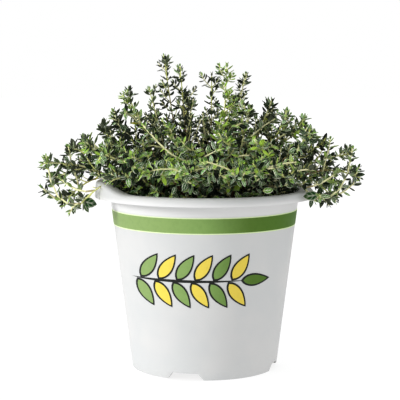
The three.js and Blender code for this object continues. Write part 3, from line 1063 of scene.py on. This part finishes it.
class Sprig:
    """One sprig while leaves and stalks are added to it."""

    def __init__(self, node, draw, habit):
        self.node, self.draw, self.habit = node, draw, habit
        self.points, self.faces, self.uv, self.cells = [], [], [], []
        self.facts = []  # age, tint, underside and material number of each face
        self.corners = 0

    def add(self, shape, points, ages, tint, material):
        for face, normal, uv, cell in zip(shape.faces, shape.normals, shape.uv, shape.cell):
            self.faces.append([self.corners + corner for corner in face])
            self.uv += uv
            self.cells += [(len(self.points), place) for place in cell]
            under = float(material == LEAF and normal[2] < 0)
            self.facts.append((ages[face[0]], tint, under, material))
        self.points.append(points)
        self.corners += len(points)

    def add_stalk(self, shape, path, radii, ages, tint, root=0.0):
        """A stalk along a path, with its root straight on below the path's start."""
        points = []
        for x, y, height in shape.points.tolist():
            t = max(0.0, height)
            centre, heading = path.at(t), path.heading(t)
            if root and height < 0.5 / STALK_RINGS:
                centre = centre - heading * root
            side = across(heading)
            points.append(centre + between(radii, t) * (x * side + y * heading.cross(side)))
        span = [between(ages, height) for height in shape.points[:, 2]]
        self.add(shape, np.array(points), span, tint, STEM)

    def add_leaf(self, start, along, facing, length, width, bend, fold, age, tint):
        """Bend lowers the leaf's tip and fold lifts its two edges, as shares of its size."""
        shape = BIG_LEAF if length > BIG_LEAF_LENGTH else SMALL_LEAF
        across_way = along.cross(facing).normalized()
        up_way = across_way.cross(along)
        x, y, z = shape.points.T
        rise = (z + fold * np.abs(x)) * width - bend * length * y * y
        points = (
            np.outer(x * width, across_way) + np.outer(y * length, along) + np.outer(rise, up_way)
        ) + np.array(start)
        self.add(shape, points, [age] * len(points), tint, LEAF)

    def varied(self, tint, spread):
        return min(FRESH, max(0, tint + self.draw.uniform(-spread, spread)))

    def add_pair(self, spot, angle, size, age, tint):
        """Two leaves that face each other across the stem."""
        draw, habit = self.draw, self.habit
        centre, heading, side = spot
        for way in (1, -1):
            lean = math.radians(angle + draw.uniform(-13, 13))
            along = (heading * math.cos(lean) + side * way * math.sin(lean)).normalized()
            roll = Matrix.Rotation(draw.uniform(-0.4, 0.4), 3, along)
            facing = roll @ (heading + 0.3 * UP + habit.turn * outward(centre))
            length = size * draw.uniform(0.82, 1.15)
            width = length * habit.broad * draw.uniform(0.86, 1.12)
            bend = habit.bend + draw.uniform(-0.10, 0.14)
            start = centre + 0.3 * MM * side * way
            fold = draw.uniform(0.05, 0.4)
            own_tint = self.varied(tint, 0.45)
            if age < 0.6 and draw.random() < WITHERED_SHARE:
                own_tint = WITHERED
            self.add_leaf(start, along, facing, length, width, bend, fold, age, own_tint)

    def add_tufts(self, spot, size, age, tint, tufts):
        """Very short leafy shoots in the corners between a pair of leaves and the stem."""
        draw = self.draw
        centre, heading, side = spot
        for way in (1, -1):
            if draw.random() > tufts:
                continue
            middle = (heading + 0.8 * side * way).normalized()
            foot = centre + side * way * 0.4 * MM
            spin = draw.uniform(0, math.pi)
            for k in range(draw.choice((2, 2, 4))):
                out = Matrix.Rotation(spin + k * math.pi * 1.25, 3, middle) @ across(middle)
                along = (middle + draw.uniform(0.5, 0.9) * out).normalized()
                length = size * draw.uniform(0.45, 0.68)
                start = foot + middle * draw.uniform(0.4, 1.4) * MM
                width = length * self.habit.broad
                own_tint = self.varied(tint, 0.35)
                self.add_leaf(start, along, middle, length, width, 0.0, 0.3, age, own_tint)

    def add_leaves(self, path, first, ages, tint, share=1.0, tufts=None):
        """Pairs of leaves up a twig, each a quarter turn on, and a crown of young ones on top."""
        draw, habit = self.draw, self.habit
        turn = draw.uniform(0, math.tau)
        tint = self.varied(tint, 0.25)
        place = first
        while place < path.length - LAST_PAIR:
            t = place / path.length
            age = between(ages, t)
            size = share * habit.leaf * (0.85 + 0.2 * math.sin(math.pi * min(1, t * 1.2)))
            spot = leaf_spot(path, t, turn)
            if spot:
                self.add_pair(spot, habit.lean - 22 * t, size, age, tint)
                self.add_tufts(spot, size, min(1, age + 0.25), tint, tufts or habit.tufts)
            turn += math.pi / 2 + draw.uniform(-0.15, 0.15)
            place += share * habit.spacing * (1.2 - 0.4 * t) * draw.uniform(0.85, 1.2)
        for k, (size, lean, age) in enumerate(CROWN):
            t = 1 - (3 - k) * 0.25 * habit.spacing / path.length
            size *= habit.crown * habit.leaf
            spot = leaf_spot(path, t, turn + k * math.pi / 2)
            if spot:
                self.add_pair(spot, lean, size, age, tint)

    def add_shoot(self, path, radii, ages, shade, first, leaf_ages, tint, share=0.85, tufts=None):
        """A side shoot with its leaves, the first of them some way up."""
        self.add_stalk(SHORT_STALK, path, radii, ages, shade)
        self.add_leaves(path, first, leaf_ages, tint, share, tufts)

    def finish(self, finishes):
        name = f"thyme_{self.node}"
        mesh = bpy.data.meshes.new(name)
        mesh.from_pydata(np.concatenate(self.points).tolist(), [], self.faces)
        side = math.ceil(math.sqrt(len(self.points)))
        numbers = np.array([number for number, _ in self.cells])
        inside = np.array([place for _, place in self.cells])
        cells = (inside * 0.94 + 0.03 + np.stack([numbers % side, numbers // side], 1)) / side
        for layer, uv in (("LeafUV", self.uv), ("OFBake", cells)):
            coordinates = np.array(uv, np.float32).ravel()
            mesh.uv_layers.new(name=layer).data.foreach_set("uv", coordinates)
        for k, fact in enumerate(("age", "tint", "underside")):
            values = [face[k] for face in self.facts]
            mesh.attributes.new(fact, "FLOAT", "FACE").data.foreach_set("value", values)
        for finish in finishes:
            mesh.materials.append(finish)
        mesh.polygons.foreach_set("material_index", [face[3] for face in self.facts])
        mesh.polygons.foreach_set("use_smooth", [True] * len(mesh.polygons))
        mesh.uv_layers["LeafUV"].active = True
        mesh.uv_layers["LeafUV"].active_render = True
        wear(add_object(name, mesh), "foliage", self.node)


def make_sprig(number, tip, habit, finishes):
    habit = OWN_HABITS.get(number, habit)
    draw = random.Random(FIRST_SEED + number)
    sprig = Sprig(f"sprig_{number:02d}", draw, habit)
    stem = stem_path(tip, habit.growth)
    tint = TINTS.get(number, habit.tint + draw.uniform(-0.2, 0.2))
    stem_tint = draw.random() * (number not in RED_STEMS)
    thick = habit.stem
    sprig.add_stalk(LONG_STALK, stem, (thick, 0.7 * thick), (0.0, 0.72), stem_tint, ROOT_DEPTH)
    sprig.add_leaves(stem, habit.bare * stem.length, (0.05, 0.7), tint)
    for at, shoot in main_shoots(stem):
        age = 0.3 + 0.4 * at
        radii, ages = (0.75 * thick, 0.55 * thick), (age, 0.95)
        sprig.add_shoot(shoot, radii, ages, draw.random(), 3.5 * MM, (age - 0.1, 0.75), tint)
    for at, shoot in small_shoots(stem, draw, habit):
        age = 0.2 + 0.5 * at
        radii, ages = (0.7 * thick, 0.5 * thick), (age, 0.9)
        sprig.add_shoot(shoot, radii, ages, draw.random(), 4 * MM, (age - 0.1, 0.7), tint, 0.8)
    radii, ages = (0.58 * MM, 0.42 * MM), (0.2, 0.9)
    for at, *points in PLACED_SHOOTS.get(number, []):
        shoot = Path(stem.at(at), *(Vector(point) * MM for point in points))
        first = 0.12 * shoot.length
        sprig.add_shoot(shoot, radii, ages, 0.85, first, (0.5, 0.8), tint, 0.9, tufts=0.6)
    for start, way, length, width, leaf_tint in PLACED_LEAVES.get(number, []):
        start, along, facing = Vector(start) * MM, Vector(way).normalized(), Vector((0, -1, 0.3))
        sprig.add_leaf(start, along, facing, length * MM, width * MM, 0.1, 0.1, 0.7, leaf_tint)
    # Shoots close above the soil get low ages and a darker tint, so that their leaves are painted
    # near black: painted shade.
    radii, ages = (0.6 * thick, 0.45 * thick), (0.2, 0.6)
    for shoot in low_shoots(stem, draw):
        sprig.add_shoot(shoot, radii, ages, draw.random(), 3 * MM, (0.2, 0.45), 0.6 * tint)
    radii, ages = (0.52 * MM, 0.38 * MM), (0.25, 0.9)
    for shoot in creeping_shoots(stem, draw) if habit.creeps else ():
        shade, first = 0.5 + 0.5 * draw.random(), 0.5 * shoot.length
        sprig.add_shoot(shoot, radii, ages, shade, first, (0.5, 0.75), tint)
    sprig.finish(finishes)


# ---- Floor, light and camera ----

def make_floor():
    """A pale table, a hair below the foot. It glows a little, so that its shadows stay faint."""
    floor = added(
        bpy.ops.mesh.primitive_circle_add, vertices=96, radius=6, fill_type="NGON",
        location=(0, 0, -0.2 * MM),
    )
    finish = Finish("pale_floor", Roughness=0.9, Emission_Strength=1.0)
    looked_at = finish.seen_by_camera()
    finish.shade(
        Base_Color=finish.mix(finish.noise(3), (0.17, 0.17, 0.17), (0.18, 0.18, 0.18)),
        Emission_Color=finish.mix(looked_at, (0.78, 0.78, 0.78), (0.84, 0.84, 0.84)),
    )
    floor.data.materials.append(finish.material)
    settle(floor, "floor")


def make_studio():
    """One wide lamp, in a white surround that looks brighter than it shines."""
    lamp = bpy.data.lights.new("key_light", "SUN")
    lamp.energy = LAMP_STRENGTH
    lamp.angle = math.radians(LAMP_WIDTH)
    key = add_object("key_light", lamp)
    key.rotation_euler = Vector(LAMP_SIDE).to_track_quat("Z", "Y").to_euler()
    scene = bpy.context.scene
    scene.world = bpy.data.worlds.new("white_surround")
    surround = Nodes(scene.world)
    height = surround.split(surround.place("Generated"))[2]
    overhead = height.step(0.5, 0.85, **{"To Min": 0.83, "To Max": 0.95})
    looked_at = surround.seen_by_camera()
    strength = surround.node("ShaderNodeMix", {}, {0: looked_at, 2: overhead, 3: 1.0}).outputs[0]
    background = surround.tree.nodes["Background"]
    surround.feed(background, {"Color": (1.0, 1.0, 1.0), "Strength": strength})
    scene.view_settings.view_transform = "Standard"
    scene.view_settings.gamma = GAMMA


def make_camera():
    data = bpy.data.cameras.new("camera")
    data.lens = CAMERA_LENS
    camera = add_object("camera", data)
    camera.location = CAMERA_PLACE
    camera.rotation_euler = (math.radians(90 - CAMERA_PITCH), 0, 0)
    bpy.context.scene.camera = camera


# ---- The whole scene ----

# The stops of the print's inks darken towards the right, away from the lamp: painted shade.
green_ink = ink(
    "green_ink", (0.0, (0.31, 0.42, 0.18)), (0.3, (0.29, 0.415, 0.155)),
    (0.5, (0.255, 0.395, 0.13)), (0.73, (0.115, 0.215, 0.035)), (1.0, (0.085, 0.195, 0.015)),
)
edge_ink = ink("edge_ink", (0.0, (0.80, 0.90, 0.60)), (1.0, (0.70, 0.84, 0.48)))
dark_ink = ink("dark_ink", (0.0, (0.026, 0.030, 0.026)), (1.0, (0.020, 0.023, 0.020)))
yellow_ink = ink("yellow_ink", (0.0, (0.84, 0.70, 0.14)), (1.0, (0.78, 0.62, 0.10)))

pot = make_pot()
band("printed_band", BAND_BOTTOM, BAND_TOP, 1.5 * INK, green_ink)
edge_bottom, edge_top = BAND_BOTTOM - BAND_EDGE, BAND_TOP + BAND_EDGE
band("printed_band_edges", edge_bottom, edge_top, 0.5 * INK, edge_ink)
make_front_print(pot, green_ink, dark_ink, yellow_ink)
make_soil()
make_crumbs()
foliage = (leaf_finish(), stem_finish())
sprigs = [(tip, habit) for habit, tips in SPRIG_GROUPS for tip in tips]
for number, (tip, habit) in enumerate(sprigs, start=1):
    make_sprig(number, tip, habit, foliage)
make_floor()
make_studio()
make_camera()
clear_selection()
